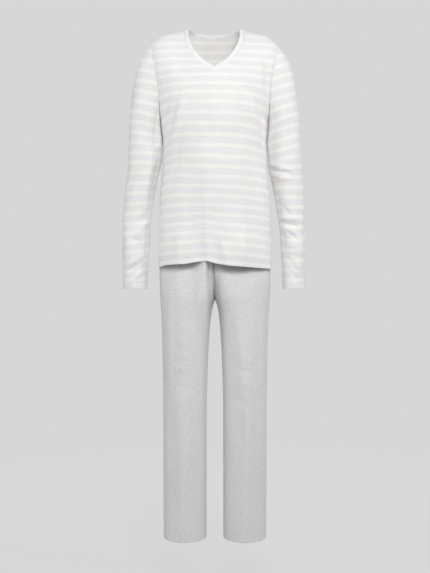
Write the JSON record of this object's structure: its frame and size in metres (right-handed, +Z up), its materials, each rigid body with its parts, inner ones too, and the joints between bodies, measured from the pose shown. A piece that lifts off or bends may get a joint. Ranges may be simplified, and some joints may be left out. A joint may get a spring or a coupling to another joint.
{
  "type": "long-sleeve pyjama set",
  "caption": "Worn pyjama set: a striped jersey V-neck top with long sleeves over straight plain jersey trousers, hollow and open at neck, cuffs and hems.",
  "frame": {"origin": "on the midline of the body, level with the neck points of the shoulders, where the shoulders hold the top up", "axes": "+Z up, the front of the garment faces -Y, +X is the wearer's left"},
  "size_m": [0.5192, 0.2314, 1.443],
  "materials": {
    "striped_jersey": "soft matt melange jersey, very pale grey with off-white stripes",
    "neck_band_jersey": "soft matt melange jersey, folded, very pale grey",
    "plain_jersey": "soft matt melange jersey, pale grey",
    "waistband_jersey": "soft matt melange jersey, gathered on elastic"
  },
  "bodies": {
    "root": {"top_front": "striped_jersey", "top_back": "striped_jersey", "sleeve_left": "striped_jersey", "sleeve_right": "striped_jersey", "neck_band": "neck_band_jersey", "trouser_front_left": "plain_jersey", "trouser_front_right": "plain_jersey", "trouser_back_left": "plain_jersey", "trouser_back_right": "plain_jersey", "waistband": "waistband_jersey"}
  },
  "joints": []
}
